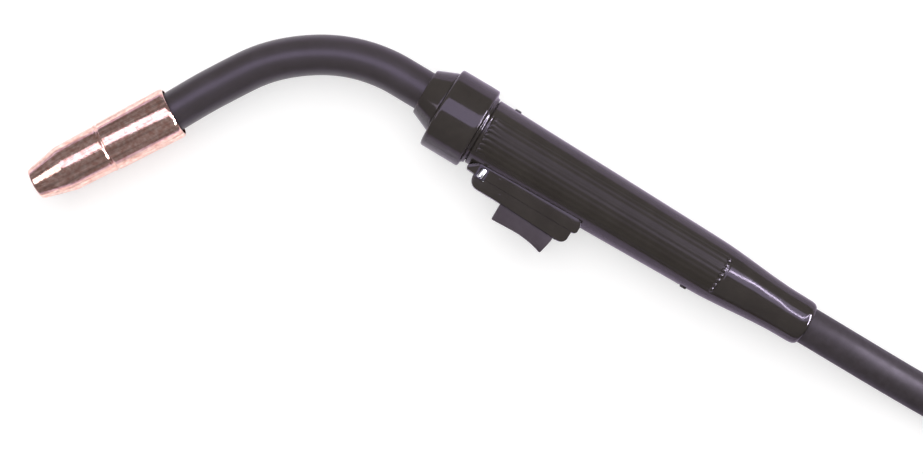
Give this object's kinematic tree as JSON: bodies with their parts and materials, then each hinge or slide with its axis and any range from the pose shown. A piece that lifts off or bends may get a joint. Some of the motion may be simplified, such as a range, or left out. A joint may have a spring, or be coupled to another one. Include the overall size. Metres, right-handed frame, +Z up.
{
  "type": "mig welding torch",
  "caption": "Swan-neck welding torch with a copper slip-on nozzle, rotating neck and lock ring, two-shell grip with side trigger, and a coiled cable ending in a central plug.",
  "frame": {"origin": "on the ground, at the middle of the footprint of the torch without its cable and plug", "axes": "+X along the grip towards the cable, the neck bends towards -Y, +Z up; the torch lies on its side with its neck level"},
  "size_m": [0.6899, 0.2616, 0.0494],
  "materials": {
    "black_nylon": "moulded glass-filled nylon, glossy",
    "neck_sleeve": "satin insulating sleeve",
    "cable_rubber": "satin extruded cable jacket",
    "nozzle_copper": "polished copper",
    "tube_copper": "drawn copper",
    "brass": "turned brass",
    "zinc_steel": "zinc-plated steel",
    "phenolic": "moulded insulator",
    "trigger_plastic": "satin nylon",
    "switch_plastic": "moulded switch case",
    "seal_rubber": "rubber",
    "lead_red": "PVC",
    "lead_white": "PVC",
    "strap": "hook-and-loop strap"
  },
  "bodies": {
    "grip": {"handle_shell_left": "black_nylon", "handle_shell_right": "black_nylon", "trigger_housing": "black_nylon", "switch_body": "switch_plastic", "switch_terminal_a": "brass", "switch_terminal_b": "brass", "switch_lead_a": "lead_red", "switch_lead_b": "lead_white", "trigger_spring": "zinc_steel", "trigger_pivot_pin": "zinc_steel", "trigger_housing_screw": "zinc_steel", "handle_screw_1": "zinc_steel", "handle_screw_2": "zinc_steel", "handle_screw_3": "zinc_steel", "handle_screw_4": "zinc_steel", "neck_socket": "brass", "socket_clamp_band": "zinc_steel", "cable_core": "seal_rubber", "cable_crimp": "zinc_steel", "cable_lead": "cable_rubber", "cable_coil": "cable_rubber", "coil_strap_a": "strap", "coil_strap_b": "strap", "plug_strain_relief": "cable_rubber", "plug_housing": "black_nylon", "plug_housing_screw_1": "zinc_steel", "plug_housing_screw_2": "zinc_steel", "plug_body": "brass", "plug_insulator": "phenolic", "gas_nipple": "brass", "nipple_seal": "seal_rubber", "liner_nut": "zinc_steel"},
    "neck": {"conductor_tube": "tube_copper", "neck_jacket": "neck_sleeve", "wire_liner": "zinc_steel", "neck_seal": "seal_rubber", "neck_thrust_washer": "brass", "neck_collar": "black_nylon", "nozzle_insulator": "phenolic", "nozzle_retaining_ring": "zinc_steel", "gas_diffuser": "brass", "contact_tip": "tube_copper"},
    "nozzle": {"nozzle": "nozzle_copper"},
    "ring": {"lock_ring": "black_nylon"},
    "trigger": {"trigger_lever": "trigger_plastic"},
    "plunger": {"switch_plunger": "lead_red"},
    "plug_nut": {"hand_nut": "black_nylon"},
    "contact_a": {"contact_pin_a": "brass"},
    "contact_b": {"contact_pin_b": "brass"}
  },
  "joints": [
    {"name": "neck_swivel", "type": "hinge", "parent": "grip", "child": "neck", "pos_m": [-0.01351, 0.0625, 0.0215], "axis": [1, 0, 0], "range_deg": [-90, 90]},
    {"name": "nozzle_pull", "type": "slide", "parent": "neck", "child": "nozzle", "axis": [-0.5225, -0.8526, 0], "range_m": [0, 0.085]},
    {"name": "ring_turn", "type": "hinge", "parent": "grip", "child": "ring", "pos_m": [-0.01351, 0.06005, 0.0215], "axis": [1, 0, 0], "range_deg": [0, 90]},
    {"name": "trigger_pull", "type": "hinge", "parent": "grip", "child": "trigger", "pos_m": [0.01149, 0.0375, 0.0215], "axis": [0, 0, 1], "range_deg": [0, 5.5], "stiffness_Nm_per_rad": 0.8, "springref_deg": -5.73, "deforming": ["trigger_spring"]},
    {"name": "plunger_slide", "type": "slide", "parent": "grip", "child": "plunger", "axis": [0, 1, 0], "range_m": [0, 0.0018]},
    {"name": "nut_turn", "type": "hinge", "parent": "grip", "child": "plug_nut", "pos_m": [0.17949, -0.1555, 0.0248], "axis": [1, 0, 0], "continuous": true},
    {"name": "contact_slide_a", "type": "slide", "parent": "grip", "child": "contact_a", "axis": [1, 0, 0], "range_m": [0, 0.003], "stiffness_N_per_m": 400, "springref_m": -0.002},
    {"name": "contact_slide_b", "type": "slide", "parent": "grip", "child": "contact_b", "axis": [1, 0, 0], "range_m": [0, 0.003], "stiffness_N_per_m": 400, "springref_m": -0.002}
  ],
  "couplings": [
    {"joint": "plunger_slide", "follows": "trigger_pull", "m_per_rad": 0.017}
  ]
}
